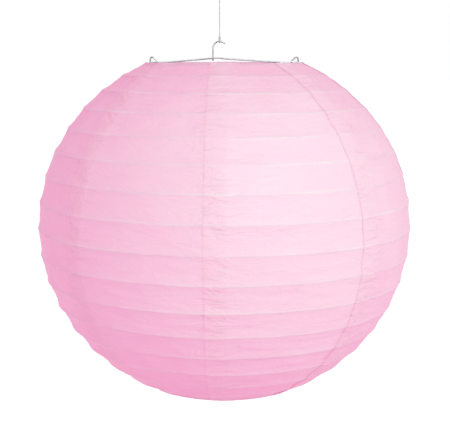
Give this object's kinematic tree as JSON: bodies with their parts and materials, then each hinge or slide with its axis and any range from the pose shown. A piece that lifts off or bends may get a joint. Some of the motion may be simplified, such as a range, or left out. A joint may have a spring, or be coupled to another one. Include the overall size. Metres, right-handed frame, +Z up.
{
  "type": "round paper lantern",
  "caption": "Round ribbed paper lantern on level wire hoops, held open by a wire expander and hung by a hook from a clear line.",
  "frame": {"origin": "inside top of the hanging loop at the top of the line", "axes": "+Z up along the line, -Y the lantern's front, +X to the right of the front"},
  "size_m": [0.3, 0.3, 0.3262],
  "materials": {
    "pink_paper": "matte",
    "bright_wire": "satin",
    "clear_line": "gloss"
  },
  "bodies": {
    "line": {"line_hang_loop": "clear_line", "hanging_line": "clear_line"},
    "line_end": {"line_hook_loop": "clear_line"},
    "lantern": {"hanging_hook": "bright_wire", "crossing_wire": "bright_wire", "expander_frame": "bright_wire", "top_rim_ring": "bright_wire", "paper_gore_1": "pink_paper", "paper_gore_2": "pink_paper", "paper_gore_3": "pink_paper", "paper_gore_4": "pink_paper", "paper_gore_5": "pink_paper", "paper_gore_6": "pink_paper", "paper_gore_7": "pink_paper", "paper_gore_8": "pink_paper"},
    "bottom_rim": {"bottom_rim_ring": "bright_wire"},
    "hoop_01": {"rib_hoop_01": "bright_wire"},
    "hoop_02": {"rib_hoop_02": "bright_wire"},
    "hoop_03": {"rib_hoop_03": "bright_wire"},
    "hoop_04": {"rib_hoop_04": "bright_wire"},
    "hoop_05": {"rib_hoop_05": "bright_wire"},
    "hoop_06": {"rib_hoop_06": "bright_wire"},
    "hoop_07": {"rib_hoop_07": "bright_wire"},
    "hoop_08": {"rib_hoop_08": "bright_wire"},
    "hoop_09": {"rib_hoop_09": "bright_wire"},
    "hoop_10": {"rib_hoop_10": "bright_wire"},
    "hoop_11": {"rib_hoop_11": "bright_wire"},
    "hoop_12": {"rib_hoop_12": "bright_wire"},
    "hoop_13": {"rib_hoop_13": "bright_wire"},
    "hoop_14": {"rib_hoop_14": "bright_wire"},
    "hoop_15": {"rib_hoop_15": "bright_wire"}
  },
  "joints": [
    {"name": "line_twist", "type": "hinge", "parent": "line", "child": "line_end", "pos_m": [0, 0, -0.048], "axis": [0, 0, 1], "continuous": true},
    {"name": "hook_swing", "type": "hinge", "parent": "line_end", "child": "lantern", "pos_m": [0, 0, -0.048], "axis": [1, 0, 0], "range_deg": [-60, 60]},
    {"name": "shade_fold", "type": "slide", "parent": "lantern", "child": "bottom_rim", "axis": [0, 0, 1], "range_m": [0, 0.23], "deforming": ["paper_gore_1", "paper_gore_2", "paper_gore_3", "paper_gore_4", "paper_gore_5", "paper_gore_6", "paper_gore_7", "paper_gore_8"]},
    {"name": "hoop_01_fold", "type": "slide", "parent": "lantern", "child": "hoop_01", "axis": [0, 0, 1], "range_m": [0, 0.00805]},
    {"name": "hoop_02_fold", "type": "slide", "parent": "lantern", "child": "hoop_02", "axis": [0, 0, 1], "range_m": [0, 0.0184]},
    {"name": "hoop_03_fold", "type": "slide", "parent": "lantern", "child": "hoop_03", "axis": [0, 0, 1], "range_m": [0, 0.03072]},
    {"name": "hoop_04_fold", "type": "slide", "parent": "lantern", "child": "hoop_04", "axis": [0, 0, 1], "range_m": [0, 0.04491]},
    {"name": "hoop_05_fold", "type": "slide", "parent": "lantern", "child": "hoop_05", "axis": [0, 0, 1], "range_m": [0, 0.06077]},
    {"name": "hoop_06_fold", "type": "slide", "parent": "lantern", "child": "hoop_06", "axis": [0, 0, 1], "range_m": [0, 0.07801]},
    {"name": "hoop_07_fold", "type": "slide", "parent": "lantern", "child": "hoop_07", "axis": [0, 0, 1], "range_m": [0, 0.09625]},
    {"name": "hoop_08_fold", "type": "slide", "parent": "lantern", "child": "hoop_08", "axis": [0, 0, 1], "range_m": [0, 0.11501]},
    {"name": "hoop_09_fold", "type": "slide", "parent": "lantern", "child": "hoop_09", "axis": [0, 0, 1], "range_m": [0, 0.13378]},
    {"name": "hoop_10_fold", "type": "slide", "parent": "lantern", "child": "hoop_10", "axis": [0, 0, 1], "range_m": [0, 0.15202]},
    {"name": "hoop_11_fold", "type": "slide", "parent": "lantern", "child": "hoop_11", "axis": [0, 0, 1], "range_m": [0, 0.16926]},
    {"name": "hoop_12_fold", "type": "slide", "parent": "lantern", "child": "hoop_12", "axis": [0, 0, 1], "range_m": [0, 0.18512]},
    {"name": "hoop_13_fold", "type": "slide", "parent": "lantern", "child": "hoop_13", "axis": [0, 0, 1], "range_m": [0, 0.19931]},
    {"name": "hoop_14_fold", "type": "slide", "parent": "lantern", "child": "hoop_14", "axis": [0, 0, 1], "range_m": [0, 0.21163]},
    {"name": "hoop_15_fold", "type": "slide", "parent": "lantern", "child": "hoop_15", "axis": [0, 0, 1], "range_m": [0, 0.22198]}
  ],
  "couplings": [
    {"joint": "hoop_01_fold", "follows": "shade_fold", "ratio": 0.03495},
    {"joint": "hoop_02_fold", "follows": "shade_fold", "ratio": 0.07993},
    {"joint": "hoop_03_fold", "follows": "shade_fold", "ratio": 0.13352},
    {"joint": "hoop_04_fold", "follows": "shade_fold", "ratio": 0.1952},
    {"joint": "hoop_05_fold", "follows": "shade_fold", "ratio": 0.26414},
    {"joint": "hoop_06_fold", "follows": "shade_fold", "ratio": 0.33911},
    {"joint": "hoop_07_fold", "follows": "shade_fold", "ratio": 0.41841},
    {"joint": "hoop_08_fold", "follows": "shade_fold", "ratio": 0.5},
    {"joint": "hoop_09_fold", "follows": "shade_fold", "ratio": 0.58159},
    {"joint": "hoop_10_fold", "follows": "shade_fold", "ratio": 0.66089},
    {"joint": "hoop_11_fold", "follows": "shade_fold", "ratio": 0.73586},
    {"joint": "hoop_12_fold", "follows": "shade_fold", "ratio": 0.8048},
    {"joint": "hoop_13_fold", "follows": "shade_fold", "ratio": 0.86648},
    {"joint": "hoop_14_fold", "follows": "shade_fold", "ratio": 0.92007},
    {"joint": "hoop_15_fold", "follows": "shade_fold", "ratio": 0.96505}
  ]
}
